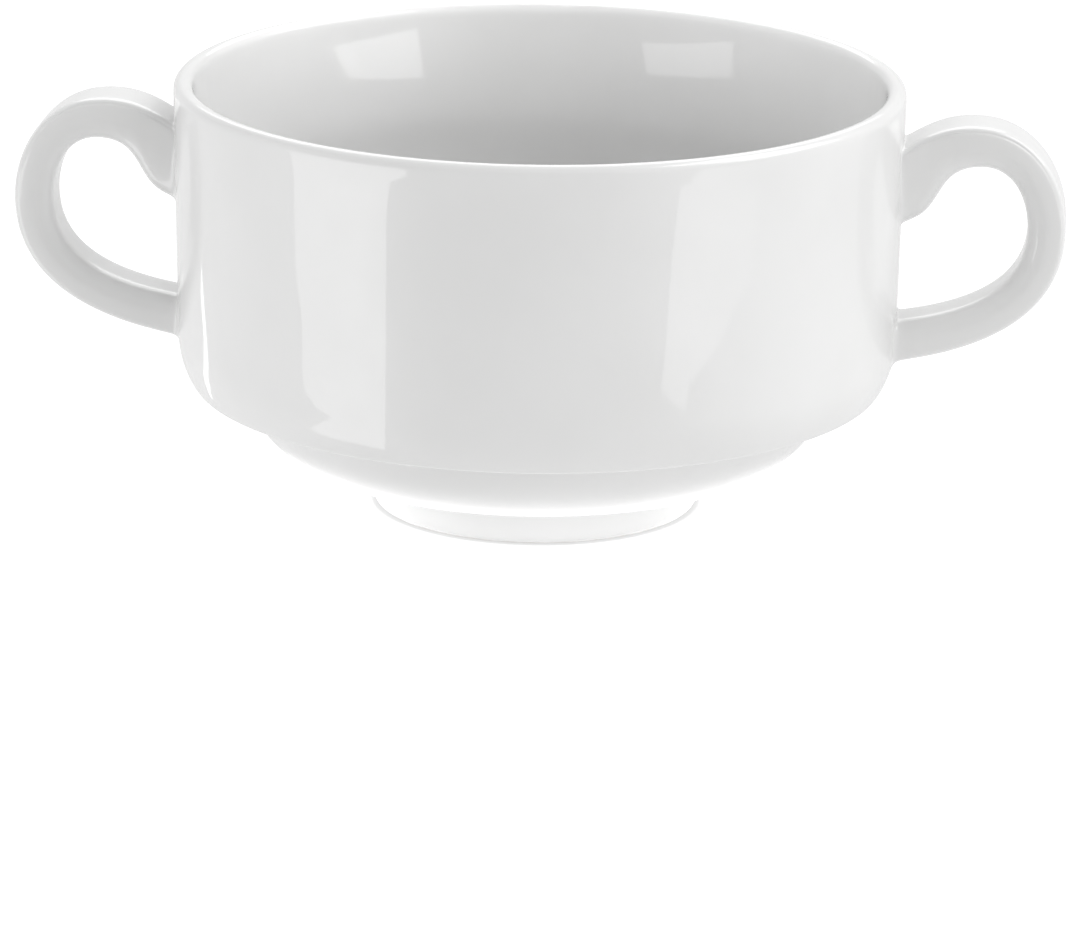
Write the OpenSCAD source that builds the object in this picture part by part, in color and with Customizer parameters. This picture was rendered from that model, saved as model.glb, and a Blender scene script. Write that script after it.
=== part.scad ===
// Two-handled bouillon cup in white glazed porcelain, made to stack.
// The origin is at the middle of the foot ring, on the table. Z points up and the handles lie along X.

/* [Cup] */
// Height from the table to the top of the lip
cup_h = 62.5; // [56:0.5:74]
// Outside diameter at the lip
rim_d = 105; // [96:1:114]
// Thickness of the rounded lip
lip_t = 2.8; // [2.2:0.1:3.6]
// Thickness of the wall above the shoulder
wall_t = 3.6; // [3:0.1:4.4]
// How much smaller the wall's radius is above the shoulder than at the lip
wall_draft = 0.6; // [0.2:0.1:1.4]
// Height of the inside floor over the table
floor_h = 8.8; // [8:0.2:11]
// Radius of the inside corner between wall and floor
inside_r = 33; // [30:1:35]

/* [Shoulder] */
// Height of the shoulder's lower edge over the table
shoulder_h = 18.5; // [17.5:0.1:20]
// How far the wall curves in, from its foot to the shoulder's edge
shoulder_in = 2; // [1.4:0.1:2.4]
// Height of the corner that the shoulder's curve rounds off
shoulder_rise = 3.4; // [3.2:0.1:4.4]
// Width of the ledge under the shoulder, which clears the lip of the cup below
ledge_w = 6.7; // [6:0.1:7.4]

/* [Bowl and foot] */
// Outside diameter of the foot ring
foot_d = 47; // [40:0.5:52]
// Height of the foot ring's outer face
foot_h = 4.6; // [3.4:0.1:5.2]
// Width of the foot ring
foot_w = 3.6; // [2.8:0.1:5]
// Depth of the recess inside the foot ring
recess_h = 3.2; // [2:0.1:4]
// Slope of the bowl's underside where it leaves the foot ring, in degrees
bowl_slope = 14; // [8:1:18]
// How far the bowl's side leans outwards where it meets the ledge, in degrees
bowl_lean = 12; // [6:1:18]

/* [Handles] */
// How far each handle stands out from the lip
handle_reach = 23.3; // [18:0.1:28]
// Width of the handle's strap
handle_w = 10.2; // [8:0.1:12]
// Thickness of the strap at the top of the loop
crest_t = 6.1; // [5:0.1:7]
// Thickness of the strap at its farthest point
reach_t = 5.5; // [4.4:0.1:6.4]
// Thickness of the strap at the lower root
arm_t = 5.9; // [5:0.1:7]
// Depth of the loop's top below the lip
crest_drop = 4; // [3:0.1:6]
// Distance of the loop's top from the wall
crest_out = 10.2; // [9:0.1:12]
// Depth of the loop's farthest point below the lip
reach_drop = 19.2; // [17:0.1:22]
// Depth of the upper root's top below the lip
root_drop = 8.2; // [7:0.1:10]
// Depth of the web's tip, where the upper root runs out down the wall
web_drop = 18.6; // [17.5:0.1:21]
// Height of the lower root's underside over the shoulder's edge
arm_rise = 4.8; // [3:0.1:6.5]
// Radius of the strap's outer edges
outer_edge_r = 1.1; // [0.8:0.1:1.8]
// Radius of the strap's inner edges
inner_edge_r = 2.2; // [1.6:0.1:2.4]
// Radius of the fillets where the handles grow out of the wall
root_fillet = 1.1; // [0.6:0.1:1.6]

/* [Hidden] */
$fn = 96;

arc_step = 7;              // degrees between the points of a rounded corner
stretch_rings = 15;        // rings along each of a handle's three stretches
root_rings = 7;            // further rings at each root, through the wall and the fillet
corner_points = 5;         // points round each edge of the strap
edge_r = 0.35;             // softening of the crisp edges
arc_gap = 0.05;            // straight left between a curve's end and the next rounding
foot_edge_r = 0.9;         // rounding of the foot ring's edges
fullness = 0.4;            // length of a curve's end tangents as a share of its chord
web_fullness = 0.52;       // the same for the S-shaped edge of the web
root_bite = 1.2;           // how deep the upper root's end sits in the wall
arm_bite = 1.6;            // how deep the lower root's end sits in the wall
fillet_end = 60;           // where a fillet's round ends and runs straight into the wall, in degrees
fillet_sink = 0.3;         // how deep the fillet runs into the wall
lip_flat = 0.1;            // flat left between the two roundings of the lip
root_slope = 0.6;          // slope of the loop's outer edge where it leaves the wall
web_slope = 0.04;          // slope of the web's edge where it leaves the wall
arm_slope = 0.13;          // slope of the lower arm where it meets the wall
crest_lean = 1;            // how much farther out the loop's inner top lies than its outer top

rim_r = rim_d / 2;
wall_foot_r = rim_r - wall_draft;
edge_ring_r = wall_foot_r - shoulder_in;
neck_r = edge_ring_r - ledge_w;
foot_r = foot_d / 2;
foot_in_r = foot_r - foot_w;
inside_top_r = rim_r - lip_t;
lip_round_r = (lip_t - lip_flat) / 2;
inside_foot_r = wall_foot_r - wall_t;

// The shoulder's curve is as large as its corner and the softened edge leave room for
curve_turn = atan(shoulder_in / shoulder_rise);
shoulder_side = norm([shoulder_in, shoulder_rise]) - edge_r * tan((90 + curve_turn) / 2);
shoulder_r = (shoulder_side - arc_gap) / tan(curve_turn / 2);
curve_top_h = shoulder_h + shoulder_rise + shoulder_r * tan(curve_turn / 2);

// The bowl's curve runs from its underside to the ledge, as large as both of its sides leave room for
bowl_turn = 90 - bowl_slope - bowl_lean;
bowl_corner_r = (neck_r - (shoulder_h - foot_h + foot_r * tan(bowl_slope)) * tan(bowl_lean))
    / (1 - tan(bowl_slope) * tan(bowl_lean));
bowl_corner_h = foot_h + (bowl_corner_r - foot_r) * tan(bowl_slope);
bowl_side = (shoulder_h - bowl_corner_h) / cos(bowl_lean) - edge_r * tan((90 - bowl_lean) / 2);
bowl_base = (bowl_corner_r - foot_r) / cos(bowl_slope) - foot_edge_r * tan((90 - bowl_slope) / 2);
bowl_r = (min(bowl_side, bowl_base) - arc_gap) / tan(bowl_turn / 2);

// Corners of the section, each with the radius that rounds it, from the axis underneath to the axis inside
function section_corners() = [
    [0, recess_h, 0],
    [foot_in_r - recess_h / 2, recess_h, recess_h / 2],
    [foot_in_r, 0, foot_edge_r],
    [foot_r, 0, foot_edge_r],
    [foot_r, foot_h, foot_edge_r],
    [bowl_corner_r, bowl_corner_h, bowl_r],
    [neck_r, shoulder_h, edge_r],
    [edge_ring_r, shoulder_h, edge_r],
    [wall_foot_r, shoulder_h + shoulder_rise, shoulder_r],
    [rim_r, cup_h, lip_round_r],
    [inside_top_r, cup_h, lip_round_r],
    [inside_foot_r, floor_h, inside_r],
    [0, floor_h, 0]
];

function unit(v) = v / norm(v);

// Points that round the corner b between a and c with radius r
function rounded(a, b, c, r) =
    let (
        u = unit(a - b),
        v = unit(c - b),
        half = acos(max(-1, min(1, u * v))) / 2,
        middle = b + unit(u + v) * r / sin(half),
        start = b + u * r / tan(half),
        turn = 180 - 2 * half,
        way = sign(u.x * v.y - u.y * v.x),
        steps = max(2, ceil(turn / arc_step))
    )
    [for (i = [0:steps]) middle + spin(start - middle, -way * turn * i / steps)];

function spin(p, a) = [p.x * cos(a) - p.y * sin(a), p.x * sin(a) + p.y * cos(a)];

function flat(p) = [p.x, p.y];

function outline(corners) = [
    for (i = [0:len(corners) - 1])
        let (last = len(corners) - 1, b = corners[i])
        each b[2] == 0 ? [flat(b)] :
            rounded(flat(corners[i == 0 ? last : i - 1]), flat(b), flat(corners[i == last ? 0 : i + 1]), b[2])
];

module turned_cup() {
    rotate_extrude() polygon(outline(section_corners()));
}

// Radius of the outside at a height: the straight wall, and the shoulder's curve under it
function straight_r(h) =
    let (foot = shoulder_h + shoulder_rise)
    wall_foot_r + wall_draft * (h - foot) / (cup_h - foot);
function wall_r(h) = h >= curve_top_h ? straight_r(h) :
    straight_r(curve_top_h) - shoulder_r + sqrt(pow(shoulder_r, 2) - pow(curve_top_h - h, 2));

function bezier(p, t) =
    p[0] * pow(1 - t, 3) + 3 * p[1] * pow(1 - t, 2) * t + 3 * p[2] * (1 - t) * pow(t, 2) + p[3] * pow(t, 3);

// One stretch between two points that leaves and arrives along the given directions
function stretch_at(from, leave, to, arrive, t, full = fullness) =
    let (reach = full * norm(to - from))
    bezier([from, from + leave * reach, to - arrive * reach, to], t);

root_r = wall_r(cup_h - root_drop) - root_bite;
arm_r = wall_r(shoulder_h + arm_rise) - arm_bite;
crest_r = rim_r + crest_out;
reach_r = rim_r + handle_reach;
out = [1, 0];
down = [0, -1];

// The four places that each edge of the loop passes through: root, top, farthest point, lower root
outer_places = [
    [root_r, cup_h - root_drop],
    [crest_r, cup_h - crest_drop],
    [reach_r, cup_h - reach_drop],
    [arm_r, shoulder_h + arm_rise]
];
inner_places = [
    [root_r, cup_h - web_drop],
    [crest_r + crest_lean, cup_h - crest_drop - crest_t],
    [reach_r - reach_t, cup_h - reach_drop],
    [arm_r, shoulder_h + arm_rise + arm_t]
];
outer_leave = unit([1, root_slope]);
inner_leave = unit([1, web_slope]);
arm_arrive = unit([-1, -arm_slope]);

function loop_at(places, leave, full, i, t) =
    i == 0 ? stretch_at(places[0], leave, places[1], out, t, full) :
    i == 1 ? stretch_at(places[1], out, places[2], down, t) :
    stretch_at(places[2], down, places[3], arm_arrive, t);

// Where the rings lie along each stretch, from 0 to 1, closer together over the share at its root
function even_rings(from, to, n) = [for (k = [1:n]) from + (to - from) * k / n];
root_share = (root_bite + root_fillet) / (3 * fullness * norm(outer_places[1] - outer_places[0]));
arm_share = (arm_bite + root_fillet) / (3 * fullness * norm(inner_places[3] - inner_places[2]));
ring_places = [
    concat([0], even_rings(0, root_share, root_rings), even_rings(root_share, 1, stretch_rings)),
    even_rings(0, 1, stretch_rings),
    concat(even_rings(0, 1 - arm_share, stretch_rings), even_rings(1 - arm_share, 1, root_rings))
];

// How much a fillet widens the strap at a distance out from the wall
fillet_stop = root_fillet * (1 - sin(fillet_end));
function flare(d) = d >= root_fillet ? 0 :
    d >= fillet_stop ? root_fillet - sqrt(pow(root_fillet, 2) - pow(root_fillet - d, 2)) :
    root_fillet * (1 - cos(fillet_end)) + (fillet_stop - max(d, -fillet_sink)) * tan(fillet_end);

// Points of one ring between the outer edge o and the inner edge n of the loop, as x, y, z
function ring(o, n) =
    let (
        middle = (o + n) / 2,
        across = unit(o - n),
        half_t = norm(o - n) / 2,
        half_w = handle_w / 2
    )
    [
        for (q = [0:3], k = [0:corner_points - 1])
            let (
                r = q == 0 || q == 3 ? outer_edge_r : inner_edge_r,
                su = q == 0 || q == 3 ? 1 : -1,
                sv = q < 2 ? 1 : -1,
                a = 90 * q + 90 * k / (corner_points - 1),
                u = su * (half_t - r) + r * cos(a),
                v = sv * (half_w - r) + r * sin(a),
                more = flare(norm([middle.x + across.x * u, v]) - wall_r(middle.y + across.y * u)),
                uu = u + more * cos(a),
                vv = v + more * sin(a)
            )
            [middle.x + across.x * uu, vv, middle.y + across.y * uu]
    ];

function loop_rings() = [
    for (i = [0:2], t = ring_places[i])
        ring(
            loop_at(outer_places, outer_leave, fullness, i, t),
            loop_at(inner_places, inner_leave, web_fullness, i, t)
        )
];

module handle() {
    rings = loop_rings();
    n = len(rings[0]);
    count = len(rings);
    points = [for (r = rings) each r];
    sides = [
        for (i = [0:count - 2], k = [0:n - 1])
            each [
                [i * n + k, (i + 1) * n + (k + 1) % n, (i + 1) * n + k],
                [i * n + k, i * n + (k + 1) % n, (i + 1) * n + (k + 1) % n]
            ]
    ];
    first_end = [for (k = [n - 1:-1:0]) k];
    last_end = [for (k = [0:n - 1]) (count - 1) * n + k];
    polyhedron(points, concat(sides, [first_end, last_end]), convexity = 6);
}

module cup() {
    color("whitesmoke") union() {
        turned_cup();
        handle();
        rotate([0, 0, 180]) handle();
    }
}

cup();
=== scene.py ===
# %% [markdown]
# # A porcelain bouillon cup with two handles
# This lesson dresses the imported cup. The real cup is one piece: a bowl that was formed on a wheel,
# with two cast handles stuck on while the clay was leather-hard, and one glaze fired over it all.
# The work follows the same order. The section is drawn and spun, the handles are drawn and given
# their thickness, and the roots are bridged into the wall so that everything is one skin.

import math

import bmesh
import bpy
from mathutils import Matrix, Vector


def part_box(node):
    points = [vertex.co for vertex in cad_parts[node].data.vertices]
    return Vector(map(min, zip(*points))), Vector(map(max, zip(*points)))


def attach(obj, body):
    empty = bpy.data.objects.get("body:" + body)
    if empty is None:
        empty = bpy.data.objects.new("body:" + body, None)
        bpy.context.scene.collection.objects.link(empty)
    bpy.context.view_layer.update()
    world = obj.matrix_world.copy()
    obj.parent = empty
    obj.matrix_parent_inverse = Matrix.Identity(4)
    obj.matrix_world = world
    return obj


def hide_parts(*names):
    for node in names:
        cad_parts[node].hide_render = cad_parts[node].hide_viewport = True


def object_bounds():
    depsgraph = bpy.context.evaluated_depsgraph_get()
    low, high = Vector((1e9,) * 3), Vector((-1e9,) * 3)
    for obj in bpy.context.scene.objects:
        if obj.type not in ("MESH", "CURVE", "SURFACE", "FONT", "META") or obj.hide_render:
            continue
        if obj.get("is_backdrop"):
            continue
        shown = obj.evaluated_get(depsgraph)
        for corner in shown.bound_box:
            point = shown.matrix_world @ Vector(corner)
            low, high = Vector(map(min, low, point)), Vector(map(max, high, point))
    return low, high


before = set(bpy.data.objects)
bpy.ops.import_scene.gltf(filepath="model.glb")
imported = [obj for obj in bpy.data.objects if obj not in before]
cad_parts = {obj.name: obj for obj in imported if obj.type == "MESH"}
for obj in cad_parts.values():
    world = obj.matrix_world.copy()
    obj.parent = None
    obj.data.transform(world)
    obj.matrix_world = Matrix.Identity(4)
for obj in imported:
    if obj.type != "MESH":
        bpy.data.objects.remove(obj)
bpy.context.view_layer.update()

# %% [markdown]
# ## Sizes
# Sizes are the real ones, in millimetres, and MM turns them into Blender's metres. The height, the
# lip's width and the reach of the handles come from the frame. The rest repeats the part's own
# driving sizes, so the skin made here lies on the solid it replaces.

# %% Sizes
MM = 0.001
cup_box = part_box("cup")
cup_h = (cup_box[1].z - cup_box[0].z) / MM
rim_r = 52.5
reach_r = (cup_box[1].x - cup_box[0].x) / MM / 2

lip_t = 2.8
wall_t = 3.6
wall_draft = 0.6
floor_h = 8.8
inside_r = 33

shoulder_h = 18.5
shoulder_in = 2
shoulder_rise = 3.4
ledge_w = 6.7
edge_r = 0.35
arc_gap = 0.05

foot_r = 23.5
foot_h = 4.6
foot_w = 3.6
foot_edge_r = 0.9
recess_h = 3.2
bowl_slope = math.radians(14)
bowl_lean = math.radians(12)

handle_w = 10.2
crest_t = 6.1
reach_t = 5.5
arm_t = 5.9
crest_drop = 4
crest_out = 10.2
crest_lean = 1
reach_drop = 19.2
root_drop = 8.2
web_drop = 18.6
arm_rise = 4.8
outer_edge_r = 1.1
inner_edge_r = 2.2
root_fillet = 1.1

wall_foot_r = rim_r - wall_draft
edge_ring_r = wall_foot_r - shoulder_in
neck_r = edge_ring_r - ledge_w
foot_in_r = foot_r - foot_w
inside_top_r = rim_r - lip_t
inside_foot_r = wall_foot_r - wall_t
print("height", round(cup_h, 2), "reach", round(reach_r, 2))

# %% [markdown]
# ## Hand tools
# Operators act on whatever is selected in the active object, so each tool here starts by making
# the selection plain. `pick` selects corners, edges or faces in code, by a test on where they lie,
# which is what a person does with the mouse.


# %% Hand tools
def start(name):
    """Adds a small plane, merges it to one corner and leaves it in edit mode, ready to be drawn from."""
    if bpy.context.mode != "OBJECT":
        bpy.ops.object.mode_set(mode="OBJECT")
    bpy.ops.object.select_all(action="DESELECT")
    bpy.ops.mesh.primitive_plane_add(size=MM)
    bpy.context.object.name = name
    bpy.ops.object.mode_set(mode="EDIT")
    bpy.ops.mesh.select_mode(type="VERT")
    bpy.ops.mesh.select_all(action="SELECT")
    bpy.ops.mesh.merge(type="CENTER")
    return bpy.context.object


def move(step):
    bpy.ops.transform.translate(value=step)


def draw(points):
    """Extrudes the selected corner from point to point. The corner starts at the first point."""
    for a, b in zip(points, points[1:]):
        bpy.ops.mesh.extrude_vertices_move(TRANSFORM_OT_translate={"value": b - a})


def pick(kind, test):
    """Selects the corners, edges or faces of the mesh in edit mode that pass the test, and counts them."""
    mesh = bmesh.from_edit_mesh(bpy.context.object.data)
    bpy.ops.mesh.select_mode(type=kind)
    bpy.ops.mesh.select_all(action="DESELECT")
    items = {"VERT": mesh.verts, "EDGE": mesh.edges, "FACE": mesh.faces}[kind]
    found = [item for item in items if test(item)]
    for item in found:
        item.select_set(True)
    mesh.select_flush_mode()
    bmesh.update_edit_mesh(bpy.context.object.data)
    return len(found)


def middle(edge):
    return (edge.verts[0].co + edge.verts[1].co) / 2


# %% [markdown]
# ## The section
# Half of the cup's section runs from the axis underneath, round the foot ring, out along the bowl,
# over the shoulder, up the wall, round the lip and down the inside to the floor. Each corner is
# rounded by its own radius, worked out the way a draughtsman sets a compass into a corner. The
# outside wall gets a row of points wherever a handle's root will need one.


# %% The section
def rounded(before, corner, after, radius, step):
    """Points that round the corner with an arc, one every step degrees or less."""
    u = (before - corner).normalized()
    v = (after - corner).normalized()
    half = u.angle(v) / 2
    centre = corner + (u + v).normalized() * radius / math.sin(half)
    first = corner + u * radius / math.tan(half) - centre
    turn = math.pi - 2 * half
    way = -1 if u.x * v.y - u.y * v.x > 0 else 1
    count = max(2, math.ceil(math.degrees(turn) / step))
    return [centre + Matrix.Rotation(way * turn * i / count, 2) @ first for i in range(count + 1)]


def line(a, b, count):
    """Points between a and b, without either end."""
    return [a.lerp(b, i / (count + 1)) for i in range(1, count + 1)]


# The shoulder's curve and the bowl's are as large as their corners leave room for
curve_turn = math.atan(shoulder_in / shoulder_rise)
shoulder_side = math.hypot(shoulder_in, shoulder_rise) - edge_r * math.tan((math.pi / 2 + curve_turn) / 2)
shoulder_r = (shoulder_side - arc_gap) / math.tan(curve_turn / 2)
curve_top_h = shoulder_h + shoulder_rise + shoulder_r * math.tan(curve_turn / 2)

bowl_turn = math.pi / 2 - bowl_slope - bowl_lean
slope, lean = math.tan(bowl_slope), math.tan(bowl_lean)
bowl_rise = shoulder_h - foot_h + foot_r * slope
bowl_corner_r = (neck_r - bowl_rise * lean) / (1 - slope * lean)
bowl_corner_h = foot_h + (bowl_corner_r - foot_r) * slope
bowl_side = (shoulder_h - bowl_corner_h) / math.cos(bowl_lean)
bowl_r = (bowl_side - edge_r * math.tan((math.pi / 2 - bowl_lean) / 2) - arc_gap) / math.tan(bowl_turn / 2)


def wall_r(h):
    """Radius of the outside at a height over the shoulder's edge."""
    foot = shoulder_h + shoulder_rise
    straight = wall_foot_r + wall_draft * (max(h, curve_top_h) - foot) / (cup_h - foot)
    if h >= curve_top_h:
        return straight
    return straight - shoulder_r + math.sqrt(shoulder_r**2 - (curve_top_h - h) ** 2)


def rows(low, high, count):
    return [low + (high - low) * i / count for i in range(count)]


root_rows = 7
arm_hole = (shoulder_h + arm_rise - root_fillet, shoulder_h + arm_rise + arm_t + root_fillet)
web_hole = (cup_h - web_drop - root_fillet, cup_h - root_drop + root_fillet)
lip_flat = 0.1
lip_round = lip_t / 2 - lip_flat / 2
wall_top_h = cup_h - lip_round
wall_rows = (
    rows(shoulder_h + 0.7, arm_hole[0], 3)
    + rows(*arm_hole, root_rows)
    + rows(arm_hole[1], web_hole[0], 6)
    + rows(*web_hole, root_rows)
    + rows(web_hole[1], wall_top_h, 3)
)

under = [Vector(p) for p in ((0, recess_h), (foot_in_r - recess_h / 2, recess_h), (foot_in_r, 0))]
foot = [Vector(p) for p in ((foot_in_r, 0), (foot_r, 0), (foot_r, foot_h))]
bowl = [Vector(p) for p in ((foot_r, foot_h), (bowl_corner_r, bowl_corner_h), (neck_r, shoulder_h))]
edge = Vector((edge_ring_r, shoulder_h))
above = Vector((wall_foot_r, shoulder_h + shoulder_rise))
lip = [Vector(p) for p in ((rim_r, cup_h), (inside_top_r, cup_h), (inside_foot_r, floor_h))]
centre = Vector((0, floor_h))
wall = [Vector((wall_r(h), h)) for h in wall_rows]


def section():
    """The half section as (radius, height) points in millimetres."""
    parts = [
        [under[0]],
        line(under[0], under[1], 3),
        rounded(under[0], under[1], under[2], recess_h / 2, 15),
        rounded(under[1], foot[0], foot[1], foot_edge_r, 20),
        line(foot[0] + Vector((foot_edge_r, 0)), foot[1] - Vector((foot_edge_r, 0)), 1),
        rounded(foot[0], foot[1], foot[2], foot_edge_r, 20),
        rounded(foot[1], foot[2], bowl[1], foot_edge_r, 20),
        line(bowl[0] + Vector((1, 0.2)), bowl[1] - Vector((9, 2.2)), 2),
        rounded(foot[2], bowl[1], bowl[2], bowl_r, 9),
        rounded(bowl[1], bowl[2], edge, edge_r, 30),
        [bowl[2] + Vector((0.9, 0)), bowl[2].lerp(edge, 0.5), edge - Vector((0.9, 0))],
        rounded(bowl[2], edge, above, edge_r, 30),
        wall,
        rounded(wall[-1], lip[0], lip[1], lip_round, 22.5),
        rounded(lip[0], lip[1], lip[2], lip_round, 22.5)[1:],
        line(lip[1] - Vector((0, lip_round)), lip[2] + Vector((0, inside_r)), 6),
        rounded(lip[1], lip[2], centre, inside_r, 9),
        line(Vector((lip[2].x - inside_r, floor_h)), centre, 2),
        [centre],
    ]
    return [p for part in parts for p in part]


# %% [markdown]
# ## Spinning the bowl
# Spin is the wheel: it sweeps the drawn section round the axis in even steps. The first and last
# copies meet, and so do the points on the axis, so doubles are merged before the faces are turned
# outwards.

# %% Spinning the bowl
spin_steps = 180
outline = section()
bowl_points = [Vector((p.x, 0, p.y)) * MM for p in outline]
cup = start("porcelain_cup")
move(bowl_points[0])
draw(bowl_points)
bpy.ops.mesh.select_all(action="SELECT")
bpy.ops.mesh.spin(steps=spin_steps, angle=math.tau, center=(0, 0, 0), axis=(0, 0, 1))
bpy.ops.mesh.select_all(action="SELECT")
bpy.ops.mesh.remove_doubles(threshold=0.001 * MM)
bpy.ops.transform.rotate(value=math.pi / spin_steps, orient_axis="Z", center_override=(0, 0, 0))
bpy.ops.mesh.normals_make_consistent(inside=False)
bpy.ops.object.mode_set(mode="OBJECT")
print("section", len(outline), "points, bowl", len(cup.data.polygons), "faces")

# %% [markdown]
# ## Drawing a handle
# Seen from the front, a handle is a strap between two curves. The outer one leaves the wall near
# the lip, rises over the top, comes round and runs back in above the shoulder. The inner one starts
# much lower, which opens the strap into a web under the upper root. Both are drawn as chains of
# corners and bridged, and the flat strap is then extruded to its width.


# %% Drawing a handle
def bezier(a, b, c, d, t):
    return a * (1 - t) ** 3 + 3 * b * (1 - t) ** 2 * t + 3 * c * (1 - t) * t**2 + d * t**3


def stretch(a, leave, b, arrive, t, full):
    """A point of the curve from a to b that leaves and arrives along the given directions."""
    reach = full * (b - a).length
    return bezier(a, a + leave * reach, b - arrive * reach, b, t)


crown = 0.25
side_y = handle_w / 2 - crown
root_bite = 1.2
arm_bite = 1.6
fullness = 0.4
web_fullness = 0.52
root_h = cup_h - root_drop
arm_h = shoulder_h + arm_rise
root_in = wall_r(root_h) - root_bite
arm_in = wall_r(arm_h) - arm_bite
crest_r = rim_r + crest_out
out = Vector((1, 0))
down = Vector((0, -1))
arm_arrive = Vector((-1, -0.13)).normalized()
outer_edge = {
    "places": [Vector(p) for p in (
        (root_in, root_h), (crest_r, cup_h - crest_drop), (reach_r, cup_h - reach_drop), (arm_in, arm_h),
    )],
    "leave": Vector((1, 0.6)).normalized(),
    "full": fullness,
}
inner_edge = {
    "places": [Vector(p) for p in (
        (root_in, cup_h - web_drop),
        (crest_r + crest_lean, cup_h - crest_drop - crest_t),
        (reach_r - reach_t, cup_h - reach_drop),
        (arm_in, arm_h + arm_t),
    )],
    "leave": Vector((1, 0.04)).normalized(),
    "full": web_fullness,
}


def loop_at(chain, part, t):
    places = chain["places"]
    if part == 0:
        return stretch(places[0], chain["leave"], places[1], out, t, chain["full"])
    if part == 1:
        return stretch(places[1], out, places[2], down, t, fullness)
    return stretch(places[2], down, places[3], arm_arrive, t, fullness)


def clear_of_wall(part, t):
    """How far the strap's middle stands out from the wall."""
    spot = (loop_at(outer_edge, part, t) + loop_at(inner_edge, part, t)) / 2
    return spot.x - wall_r(spot.y)


def where_clear(part, inside, outside):
    """The place along a stretch where the strap is as far from the wall as its fillet is wide."""
    for _ in range(40):
        t = (inside + outside) / 2
        if clear_of_wall(part, t) < root_fillet:
            inside = t
        else:
            outside = t
    return outside


stretch_rows = 14
first = where_clear(0, 0, 1)
last = where_clear(2, 1, 0)
stations = (
    [(0, first + (1 - first) * k / stretch_rows) for k in range(stretch_rows)]
    + [(1, k / stretch_rows) for k in range(stretch_rows)]
    + [(2, last * k / stretch_rows) for k in range(stretch_rows + 1)]
)


def chain_points(chain):
    flat = [loop_at(chain, part, t) for part, t in stations]
    return [Vector((p.x * MM, side_y * MM, p.y * MM)) for p in flat]


outer_chain = chain_points(outer_edge)
inner_chain = chain_points(inner_edge)
handle = start("handle")
move(outer_chain[0])
bpy.ops.mesh.duplicate_move(TRANSFORM_OT_translate={"value": inner_chain[0] - outer_chain[0]})
draw(inner_chain)
pick("VERT", lambda v: (v.co - outer_chain[0]).length < 0.001 * MM)
draw(outer_chain)
bpy.ops.mesh.select_mode(type="EDGE")
bpy.ops.mesh.select_all(action="SELECT")
bpy.ops.mesh.bridge_edge_loops(number_cuts=1, interpolation="LINEAR")
bpy.ops.mesh.select_all(action="SELECT")
bpy.ops.mesh.extrude_region_move(TRANSFORM_OT_translate={"value": (0, -2 * side_y * MM, 0)})
bpy.ops.mesh.select_all(action="SELECT")
bpy.ops.mesh.normals_make_consistent(inside=False)
for y in (-side_y / 3, side_y / 3):
    bpy.ops.mesh.select_all(action="SELECT")
    bpy.ops.mesh.bisect(plane_co=(0, y * MM, 0), plane_no=(0, 1, 0))
print("strap", len(bmesh.from_edit_mesh(handle.data).faces), "faces")

# %% [markdown]
# ## Rounding the strap
# The two ends are opened, because the wall will close them. The outer edges keep a small radius,
# which shows as a crisp line along the top, and the inner edges are rounder, to be kind to a finger.
# The row of corners along the middle of each side is then pushed out a little, which crowns the side.


# %% Rounding the strap
def near_chain(point, chain, reach=0.05):
    flat = Vector((point.x, 0, point.z))
    return min((flat - Vector((p.x, 0, p.z))).length for p in chain) < reach * MM


def on_end(face):
    ends = [(outer_chain[i], inner_chain[i]) for i in (0, -1)]
    return any(
        all(abs((v.co - a).cross(b - a).y) < 1e-9 for v in face.verts) for a, b in ends
    )


def long_edge(chain):
    def test(item):
        side = all(abs(abs(v.co.y) - side_y * MM) < 0.001 * MM for v in item.verts)
        return side and all(near_chain(v.co, chain) for v in item.verts)
    return test


print("ends", pick("FACE", on_end))
bpy.ops.mesh.delete(type="FACE")
for chain, radius, segments in ((outer_chain, outer_edge_r, 3), (inner_chain, inner_edge_r, 4)):
    print("edges", pick("EDGE", long_edge(chain)))
    bpy.ops.mesh.bevel(
        offset=radius * MM, offset_type="OFFSET", segments=segments, profile=0.5, affect="EDGES",
    )


# How near an edge of the strap a corner may lie before it counts as part of that edge's rounding
by_outer = 1.6
by_inner = 2.45


def middle_row(side):
    def test(corner):
        on_side = abs(corner.co.y - side * side_y * MM) < 0.001 * MM
        at_outer = near_chain(corner.co, outer_chain, by_outer)
        at_inner = near_chain(corner.co, inner_chain, by_inner)
        return on_side and not at_outer and not at_inner
    return test


for side in (-1, 1):
    print("middle row", pick("VERT", middle_row(side)))
    move((0, side * crown * MM, 0))

# %% [markdown]
# ## The mould's seam
# The handle is cast in a mould of two halves, and where they meet a fine line stays along each outer
# edge. The row of edges on the rounding is bevelled into three, and the middle one is pressed in. It is
# deepest over the crest and runs out towards the farthest point, where it was sponged away.

# %% The mould's seam
seam_y = side_y - outer_edge_r * (1 - math.cos(math.radians(30)))
seam_w = 0.2
seam_depth = 0.22
seam_heights = (46, 51, 55)


def on_seam(item):
    """The row along each outer edge's rounding that lies nearest to the strap's side."""
    corners = item.verts if hasattr(item, "verts") else [item]
    side = all(abs(abs(v.co.y) - seam_y * MM) < 0.03 * MM for v in corners)
    outside = all(near_chain(v.co, outer_chain, 0.75) for v in corners)
    return side and outside and not any(near_chain(v.co, inner_chain, 0.75) for v in corners)


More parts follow.
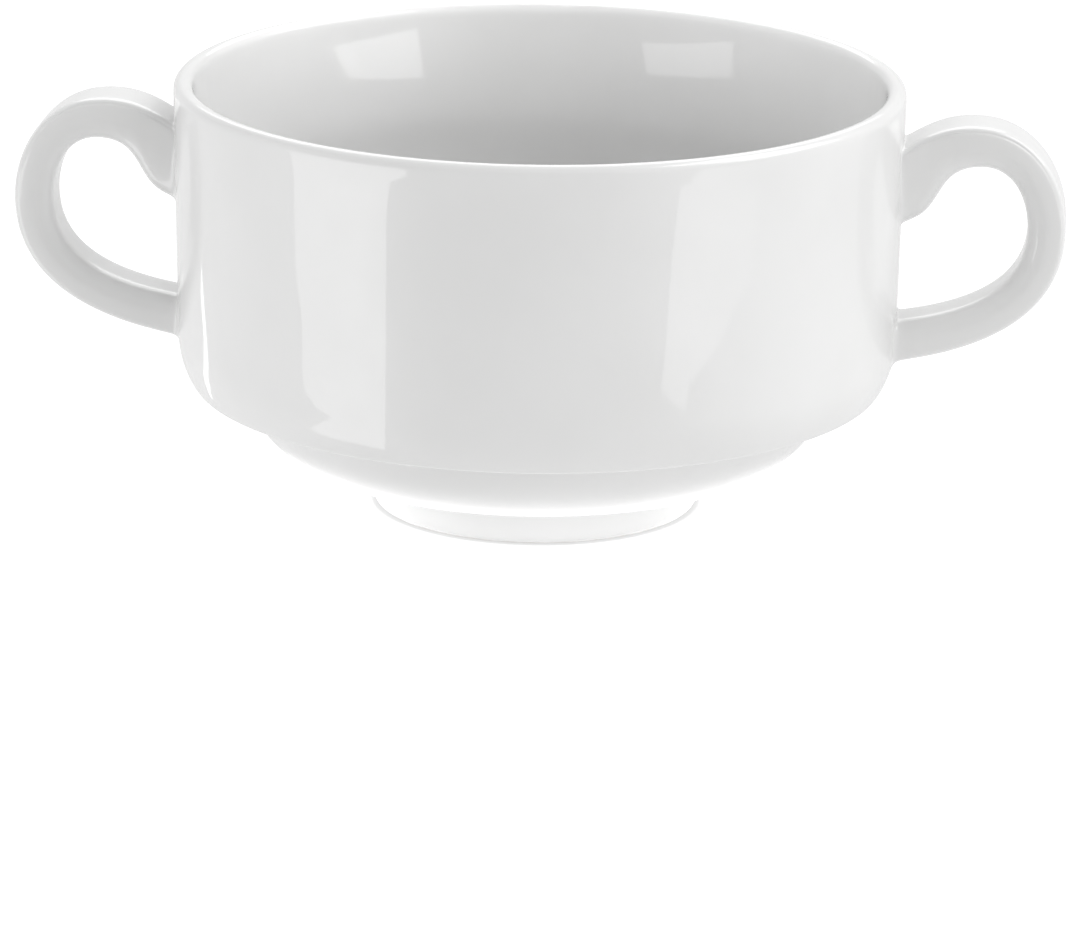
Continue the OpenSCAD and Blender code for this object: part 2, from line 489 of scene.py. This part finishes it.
print("seam edges", pick("EDGE", on_seam))
bpy.ops.mesh.bevel(offset=seam_w * MM, offset_type="OFFSET", segments=2, profile=0.5, affect="EDGES")
mesh = bmesh.from_edit_mesh(handle.data)
mesh.verts.index_update()
seam = {v.index: v.co.z for v in mesh.verts if on_seam(v)}
for low_z in seam_heights:
    print("seam corners", pick("VERT", lambda v: seam.get(v.index, 0) > low_z * MM))
    bpy.ops.transform.shrink_fatten(value=-seam_depth / len(seam_heights) * MM)
bpy.ops.mesh.select_all(action="SELECT")
bpy.ops.mesh.duplicate_move()
bpy.ops.transform.rotate(value=math.pi, orient_axis="Z", center_override=(0, 0, 0))
bpy.ops.object.mode_set(mode="OBJECT")

# %% [markdown]
# ## Growing the handles out of the wall
# The wall is opened where each root sits, a fillet's width wider than the strap all round, and each
# opening is bridged to the strap's end. Bridging along the surfaces leaves both of them tangent,
# which is the shape that slip and glaze take there.

# %% Growing the handles
cell = math.tau / spin_steps
root_cells = 7
half_hole = root_cells / 2 * cell


def azimuth(point):
    return math.atan2(point.y, abs(point.x))


def in_hole(low, high):
    def test(face):
        spot = face.calc_center_median() / MM
        if not (low < spot.z < high and abs(azimuth(spot)) < half_hole):
            return False
        return abs(spot.xy.length - wall_r(spot.z)) < 0.5
    return test


bpy.ops.object.select_all(action="DESELECT")
handle.select_set(True)
cup.select_set(True)
bpy.context.view_layer.objects.active = cup
bpy.ops.object.join()
bpy.ops.object.mode_set(mode="EDIT")
for low, high in (arm_hole, web_hole):
    print("opening", pick("FACE", in_hole(low, high)))
    bpy.ops.mesh.delete(type="FACE")


def open_edge(low, high, side):
    """Tests for the open edges between two heights, on the side of one handle."""
    margin = 2.5
    def test(item):
        spot = middle(item)
        near = (low - margin) * MM < spot.z < (high + margin) * MM
        return item.is_boundary and near and spot.x * side > 0
    return test


for low, high in (arm_hole, web_hole):
    for side in (-1, 1):
        print("open edges", pick("EDGE", open_edge(low, high, side)))
        bpy.ops.mesh.bridge_edge_loops(number_cuts=3, interpolation="SURFACE", smoothness=1.0)
bpy.ops.mesh.select_all(action="SELECT")
bpy.ops.mesh.normals_make_consistent(inside=False)
bpy.ops.object.mode_set(mode="OBJECT")

# %% [markdown]
# ## Smoothing
# Fired glaze leaves no facets. One level of subdivision rounds what the spin and the bridges left,
# and stays well under the limit of triangles.

# %% Smoothing
bpy.ops.object.modifier_add(type="SUBSURF")
cup.modifiers[-1].levels = 1
cup.modifiers[-1].render_levels = 1
bpy.ops.object.modifier_apply(modifier=cup.modifiers[-1].name)
bpy.ops.object.shade_smooth()
cup.data.calc_loop_triangles()
print("cup", len(cup.data.loop_triangles), "triangles")

# %% [markdown]
# ## A node tree written as sums
# A shader is arithmetic on what the surface tells it, so this small class lets the sums be written
# as sums. A Wire is one output of a node. Adding, multiplying or comparing Wires places the Math node
# that does it, and `node` places any other kind.


# %% Wires
class Wire:
    def __init__(self, tree, socket):
        self.tree = tree
        self.socket = socket

    def node(self, kind, inputs, output=0, **settings):
        """Places a node of a kind, sets its inputs from Wires or numbers, and returns one output."""
        made = self.tree.nodes.new(kind)
        for name, value in settings.items():
            setattr(made, name, value)
        for key, value in inputs.items():
            if isinstance(value, Wire):
                self.tree.links.new(value.socket, made.inputs[key])
            else:
                made.inputs[key].default_value = value
        return Wire(self.tree, made.outputs[output])

    def math(self, way, *others, clamp=False):
        values = {i: v for i, v in enumerate((self, *others))}
        return self.node("ShaderNodeMath", values, operation=way, use_clamp=clamp)

    def __add__(self, other):
        return self.math("ADD", other)

    def __radd__(self, other):
        return self.math("ADD", other)

    def __mul__(self, other):
        return self.math("MULTIPLY", other)

    def __rmul__(self, other):
        return self.math("MULTIPLY", other)

    def __sub__(self, other):
        return self.math("SUBTRACT", other)

    def __rsub__(self, other):
        return (self * -1).math("ADD", other)

    def ramp(self, low, high, start=0.0, end=1.0):
        """Rises smoothly from start to end as this Wire goes from low to high."""
        values = {0: self, 1: low, 2: high, 3: start, 4: end}
        return self.node("ShaderNodeMapRange", values, interpolation_type="SMOOTHSTEP")

    def noise(self, size, detail=2.0, rough=0.5):
        """Noise whose waves are about size millimetres long, from 0 to 1 round 0.5."""
        values = {"Vector": self, "Scale": 1 / (size * MM), "Detail": detail, "Roughness": rough}
        return self.node("ShaderNodeTexNoise", values)

    def mix(self, a, b):
        """The colour a where this Wire is 0, and b where it is 1."""
        return self.node("ShaderNodeMix", {0: self, 6: (*a, 1), 7: (*b, 1)}, output=2, data_type="RGBA")


def finish_of(name):
    """A new material: its tree's Wire for the object's own coordinates, and its shader."""
    made = bpy.data.materials.new(name)
    made.use_nodes = True
    tree = made.node_tree
    coordinates = tree.nodes.new("ShaderNodeTexCoord")
    return made, Wire(tree, coordinates.outputs["Object"]), tree.nodes["Principled BSDF"]


def feed(wire, shader, name):
    wire.tree.links.new(wire.socket, shader.inputs[name])


# %% [markdown]
# ## The glaze
# A clear glaze lies on a dense white body. The body is a broad, dull white, and the glaze is a coat
# over it that mirrors the studio. Two heights, long, low waves and a faint orange-peel, vary the
# body's broad sheen, and the coat over it stays even. The white is greyed with painted shade deep
# inside the cup and round the handles' roots, and a little on the handles' flat sides, which is only
# to meet the look. The land of the foot ring was wiped before firing, so the body stands bare
# there: the coat ends at a slightly wandering line, with a dull, warmer biscuit under it.

# %% The glaze
glaze, place, shader = finish_of("glaze")
axes = place.node("ShaderNodeSeparateXYZ", {"Vector": place})
height = Wire(place.tree, axes.socket.node.outputs["Z"])
across = Wire(place.tree, axes.socket.node.outputs["Y"]).math("ABSOLUTE")
flat = place.node("ShaderNodeVectorMath", {0: place, 1: (1, 1, 0)}, operation="MULTIPLY")
radius = flat.node("ShaderNodeVectorMath", {0: flat}, output=1, operation="LENGTH")

wander = place.noise(2.5) * (0.3 * MM)
bare = (height + wander).ramp(0.30 * MM, 0.42 * MM, 1.0, 0.0)
cloud = place.noise(22, detail=3)
# Painted shade: masks for greying the white round the handles' roots and on the handles' flat sides
painted_root_shade = radius.ramp(wall_foot_r * MM, 54.5 * MM) * radius.ramp(54.5 * MM, 57 * MM, 1.0, 0.0)
painted_flank_shade = across.ramp(4.1 * MM, 4.9 * MM) * radius.ramp(54 * MM, 57 * MM)

# The inside is whatever lies within the rounding between its wall and its floor
over = (radius - (inside_foot_r - inside_r) * MM).math("MAXIMUM", 0)
below = (height - (floor_h + inside_r) * MM).math("MINIMUM", 0)
from_centre = (over * over + below * below).math("SQRT")
inside = from_centre.ramp((inside_r + 0.8) * MM, (inside_r + 2.2) * MM, 1.0, 0.0)
# Painted shade: greyer deep inside the cup, fading out towards the top
painted_deep_shade = inside * height.ramp(20 * MM, 60 * MM, 1.0, 0.0)

whites = cloud.ramp(0.3, 0.7).mix((0.76, 0.76, 0.757), (0.785, 0.785, 0.783))
tint = whites
# The painted shade greys are mixed over the white one after another
root_shade_grey, flank_shade_grey, deep_shade_grey = 0.72, 0.735, 0.66
for where, grey in ((painted_root_shade * 0.5, root_shade_grey), (painted_flank_shade, flank_shade_grey), (painted_deep_shade, deep_shade_grey)):
    shade_colour = (grey, grey, grey * 0.995, 1)
    tint = where.node("ShaderNodeMix", {0: where, 6: tint, 7: shade_colour}, 2, data_type="RGBA")
biscuit = place.noise(0.5, detail=4).ramp(0.3, 0.7).mix((0.70, 0.685, 0.65), (0.78, 0.765, 0.73))
colour = bare.node("ShaderNodeMix", {0: bare, 6: tint, 7: biscuit}, 2, data_type="RGBA")
feed(colour, shader, "Base Color")

dull = place.noise(6, detail=3).ramp(0.3, 0.7, 0.32, 0.42)
feed(bare.node("ShaderNodeMix", {0: bare, 2: dull, 3: 0.85}, 0), shader, "Roughness")
feed(1 - bare, shader, "Coat Weight")
shader.inputs["Coat Roughness"].default_value = 0.025
shader.inputs["Coat IOR"].default_value = 1.5

waves = place.noise(26, detail=1) * 0.10 + place.noise(9, detail=1) * 0.012
peel = place.noise(1.3, detail=2) * 0.0006
grain = bare * (place.noise(0.25, detail=3) * 0.03)
relief = waves + peel + grain
bump = relief.node("ShaderNodeBump", {"Height": relief, "Distance": MM, "Strength": 1.0})
feed(bump, shader, "Normal")

cup.data.materials.append(glaze)
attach(cup, "root")
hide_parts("cup")

# %% [markdown]
# ## The floor
# The cup stands on a plain white table that glows as well as being lit from above, so its shadow stays
# light. Its glow is painted brighter round the foot, a painted pool of light, up to a thin greyer line
# where the foot touches it, which is a painted contact shadow. Mirrored rays don't see this table:
# what the glaze mirrors of it stands under it, and comes further down.

# %% The floor
bpy.ops.object.mode_set(mode="OBJECT")
bpy.ops.object.select_all(action="DESELECT")
bpy.ops.mesh.primitive_plane_add(size=12)
floor = bpy.context.object
floor.name = "floor"
pale, place, shader = finish_of("pale_floor")
floor_grey = 0.37
glow_all, glow_seen, painted_foot_glow, contact_shadow_level = 0.6, 0.15, 0.5, 0.42
contact_w = 1.8
flat = place.node("ShaderNodeVectorMath", {0: place}, output=1, operation="LENGTH")
to_camera = Wire(place.tree, place.tree.nodes.new("ShaderNodeLightPath").outputs["Is Camera Ray"])
# Painted light: the glow is brighter round the foot, a painted pool of light
lit = glow_all + to_camera * glow_seen + flat.ramp(26 * MM, 42 * MM, painted_foot_glow, 0.0)
# Painted shadow: the glow dips to a thin greyer line at the foot's edge
painted_contact_shadow = flat.ramp(foot_r * MM, (foot_r + contact_w) * MM, contact_shadow_level, 1.0)
feed(lit * painted_contact_shadow, shader, "Emission Strength")
shader.inputs["Base Color"].default_value = (floor_grey, floor_grey, floor_grey, 1)
shader.inputs["Roughness"].default_value = 0.9
shader.inputs["Specular IOR Level"].default_value = 0
shader.inputs["Emission Color"].default_value = (1, 1, 1, 1)
floor.data.materials.append(pale)
floor.visible_glossy = False
floor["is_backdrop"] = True

# %% [markdown]
# ## Plain studio light
# Four softboxes stand round the table: a high one on the right, a low one on the left, one behind and
# one low in front. The walls of the studio are white and give the rest. What the camera sees past the
# table, and what the glaze mirrors of it, is brighter than what those walls light the cup with. Two
# of the softboxes aren't mirrored.

# %% Plain studio light
world = bpy.data.worlds.new("studio")
bpy.context.scene.world = world
world.use_nodes = True
walls = world.node_tree.nodes["Background"]
walls.inputs["Color"].default_value = (1, 1, 1, 1)
path = world.node_tree.nodes.new("ShaderNodeLightPath")
to_camera = Wire(world.node_tree, path.outputs["Is Camera Ray"])
to_glaze = Wire(world.node_tree, path.outputs["Is Glossy Ray"])
feed(0.50 + to_camera * 0.5 + to_glaze * 0.36, walls, "Strength")

aim = Vector((0, 0, cup_h / 2 * MM))


def from_aim(azimuth, elevation, distance):
    """The place in metres that lies in a direction, given in degrees, from the middle of the cup."""
    a, e = math.radians(azimuth), math.radians(elevation)
    return aim + distance * Vector((math.cos(a) * math.cos(e), math.sin(a) * math.cos(e), math.sin(e)))


def softbox(name, azimuth, elevation, power, mirrored=True):
    bpy.ops.object.light_add(type="AREA", location=from_aim(azimuth, elevation, 1.2))
    lamp = bpy.context.object
    lamp.name = name
    lamp.rotation_euler = (lamp.location - aim).to_track_quat("Z", "Y").to_euler()
    lamp.data.shape = "RECTANGLE"
    lamp.data.size = lamp.data.size_y = 0.9
    lamp.data.energy = power
    lamp.visible_glossy = mirrored


softbox("right_light", 5, 45, 7.6)
softbox("left_light", 185, 12, 5.8, mirrored=False)
softbox("back_light", 95, 45, 3.6)
softbox("front_light", -40, 12, 2.6, mirrored=False)

# %% [markdown]
# ## What the wall mirrors
# The camera looks down, so an upright wall on a polished tabletop mirrors the softboxes in it. Such an
# image lies as far under the table as the softbox stands over it. This table is dull, so each image
# is made instead: a glowing card down there, which only mirrored rays meet, drawn to give its band the
# outline it should have. The foot and the bowl lie so near the tabletop that they mirror its lit
# middle, which is a glowing disc just under it, made in the same way.


# %% What the wall mirrors
def glowing(made, way, values, fade):
    """Makes a piece glow for mirrored rays alone, by a measure of the place that fades."""
    light = bpy.data.materials.new(made.name)
    light.use_nodes = True
    tree = light.node_tree
    tree.nodes.clear()
    spot = Wire(tree, tree.nodes.new("ShaderNodeTexCoord").outputs["Object"])
    measure = spot.node("ShaderNodeVectorMath", {0: spot, **values}, output="Value", operation=way)
    shine = spot.node("ShaderNodeEmission", {"Strength": measure.ramp(*fade)})
    end = tree.nodes.new("ShaderNodeOutputMaterial")
    tree.links.new(shine.socket, end.inputs["Surface"])
    light.cycles.emission_sampling = "NONE"
    made.data.materials.append(light)
    made.visible_camera = made.visible_diffuse = made.visible_shadow = False
    made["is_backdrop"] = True
    print(made.name, len(made.data.polygons), "face")


card_out = 900


def card(name, azimuth, corners, glow, fade=1.0):
    """A glowing card, drawn from corners (sideways, up) in mm, which may fade sideways."""
    turn = Matrix.Rotation(math.radians(azimuth), 3, "Z")
    points = [turn @ Vector((card_out, side, up)) * MM for side, up in corners + corners[:1]]
    made = start(name)
    move(points[0])
    draw(points)
    bpy.ops.mesh.select_all(action="SELECT")
    bpy.ops.mesh.remove_doubles(threshold=0.001 * MM)
    bpy.ops.mesh.edge_face_add()
    bpy.ops.object.mode_set(mode="OBJECT")
    values = {1: turn @ Vector((0, 1, 0))}
    low, high = min(c[0] for c in corners) * MM, max(c[0] for c in corners) * MM
    glowing(made, "DOT_PRODUCT", values, (low, high, glow, glow * fade))


card("left_card", -150, [
    (420, 0), (420, -189), (345, -192), (318, -195), (304, -199), (297, -206), (295, -229),
    (284, -324), (180, -720), (-1, -1134), (-174, -968), (-323, -891), (-360, -733), (-36, -338),
    (-136, -249), (-174, -249),
    (-197, -245), (-196, -227), (-224, -219), (-239, -212), (-240, -187), (-252, -181), (-252, 0),
], 2.0, 1.45)
card("right_card", -27, [
    (-316, -258), (-296, -245), (-282, -228), (-269, -211), (-247, -197), (-236, -189), (-227, -186),
    (-206, -183), (-175, -180), (-140, -107), (-140, 0), (391, 0), (391, -178), (215, -183), (201, -195),
    (184, -206), (164, -211), (119, -214), (64, -218), (-9, -227), (-83, -234), (-160, -243), (-175, -252),
], 2.2, 0.43)
card("edge_card", 145, [
    (-15, -204), (-34, -212), (-3, -227), (-151, -386), (-260, -458), (-245, -462), (-74, -374),
    (51, -236), (29, -224), (0, -212),
], 3.0)

disc_r = 46
disc_down = 0.1
disc_fade = (28 * MM, 45 * MM, 2.0, 0.86)
bpy.ops.object.select_all(action="DESELECT")
bpy.ops.mesh.primitive_circle_add(
    vertices=64, radius=disc_r * MM, fill_type="NGON", location=(0, 0, -disc_down * MM),
)
bpy.context.object.name = "lit_middle"
glowing(bpy.context.object, "LENGTH", {}, disc_fade)

# %% [markdown]
# ## Light over the front of the lip
# Light that comes over the lip falls far up the walls, inside, and fades downwards, and two windows add a
# crisp pane each. All of these are narrow beams, and each is cut to its pane in the lamp's own shader: a
# ray's slope says where in the beam it lies, and each side of the pane is a cut, sharp or soft.


# %% Light over the front of the lip
beam_length = 0.6
beam_rise = math.radians(25)
beam_spread = math.radians(30)
sharp = 0.3


def pane(name, from_azimuth, corners, power, fade=sharp):
    """A beam that fills a pane of four corners (x, y, z) in mm. Its last side fades over fade mm."""
    spots = [Vector(corner) * MM for corner in corners]
    target = sum(spots, Vector()) / 4
    a, rise = math.radians(from_azimuth), beam_rise
    way = Vector((math.cos(a) * math.cos(rise), math.sin(a) * math.cos(rise), math.sin(rise)))
    bpy.ops.object.light_add(type="SPOT", location=target + beam_length * way)
    lamp = bpy.context.object
    lamp.name = name
    turn = way.to_track_quat("Z", "Y")
    lamp.rotation_euler = turn.to_euler()
    lamp.data.spot_size = beam_spread
    lamp.data.shadow_soft_size = 0.0003
    lamp.data.energy = power
    lamp.data.use_nodes = True
    tree = lamp.data.node_tree
    ray = Wire(tree, tree.nodes.new("ShaderNodeTexCoord").outputs["Normal"])
    slopes = ray.node("ShaderNodeSeparateXYZ", {"Vector": ray}).socket.node.outputs
    x, y, z = [Wire(tree, slopes[axis]) for axis in "XYZ"]
    x, y = x.math("DIVIDE", z), y.math("DIVIDE", z)
    seen = [turn.inverted() @ (spot - lamp.location) for spot in spots]
    seen = [Vector((p.x / p.z, p.y / p.z)) for p in seen]
    inside = sum(seen, Vector((0, 0))) / 4
    cuts = []
    for first, last, soft in zip(seen, seen[1:] + seen[:1], (sharp, sharp, sharp, fade)):
        inward = (last - first).orthogonal().normalized()
        if inward.dot(inside - first) < 0:
            inward = -inward
        depth = x * inward.x + y * inward.y - inward.dot(first)
        cuts.append(depth.ramp(0, soft * MM / beam_length))
    feed(cuts[0] * cuts[1] * cuts[2] * cuts[3], tree.nodes["Emission"], "Strength")


pane("left_pane", -60, [
    (-34.6, 35.5, 58.3), (-22.6, 44.1, 59.7), (-21.6, 44.4, 51.4), (-32.8, 37, 52.6),
], 2.3)
pane("right_pane", -100, [
    (10.8, 48.4, 57.4), (25.2, 42.7, 59.4), (25.3, 42.5, 53.4), (11.8, 48, 52.4),
], 1.7)
pane("over_front", -85, [(-90, 45, 38), (-90, 45, 66), (90, 45, 66), (90, 45, 38)], 2.2, 22)
pane("over_right", -25, [(-45, 85, 30), (-45, 85, 64), (-45, -60, 64), (-45, -60, 30)], 1.5, 30)
pane("over_left", -150, [(45, -60, 30), (45, -60, 64), (45, 85, 64), (45, 85, 30)], 0.6, 30)

# %% [markdown]
# ## The camera
# The camera looks slightly down on the cup, with the handles turned a little out of line. Its distance
# is a choice, since nearer and farther ones can be made to fit as well.

# %% Camera
camera_distance = 850
camera_up = math.radians(13.089)
handle_turn = math.radians(5.2)
camera_pitch = math.radians(3.836)
camera_yaw = math.radians(0.044)
camera_roll = math.radians(0.687)
focal_pixels = 5923.06
image_width = 1080

back = Vector((0, -math.cos(camera_up), math.sin(camera_up)))
forward = -back
right = Vector((1, 0, 0))
up = right.cross(forward)
forward, up = (
    forward * math.cos(camera_pitch) - up * math.sin(camera_pitch),
    up * math.cos(camera_pitch) + forward * math.sin(camera_pitch),
)
forward, right = (
    forward * math.cos(camera_yaw) + right * math.sin(camera_yaw),
    right * math.cos(camera_yaw) - forward * math.sin(camera_yaw),
)
right, up = (
    right * math.cos(camera_roll) + up * math.sin(camera_roll),
    up * math.cos(camera_roll) - right * math.sin(camera_roll),
)
turn = Matrix.Rotation(handle_turn, 3, "Z")
place = turn @ (back * camera_distance * MM) + Vector((0, 0, cup_h * MM))
axes = [turn @ v for v in (right, up, -forward)]
camera_data = bpy.data.cameras.new("camera")
camera = bpy.data.objects.new("camera", camera_data)
bpy.context.scene.collection.objects.link(camera)
camera.matrix_world = Matrix.Translation(place) @ Matrix(axes).transposed().to_4x4()
camera_data.sensor_width = 36
camera_data.lens = focal_pixels * camera_data.sensor_width / image_width
bpy.context.scene.camera = camera
bpy.context.scene.view_settings.view_transform = "Standard"

# %% The end
low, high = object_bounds()
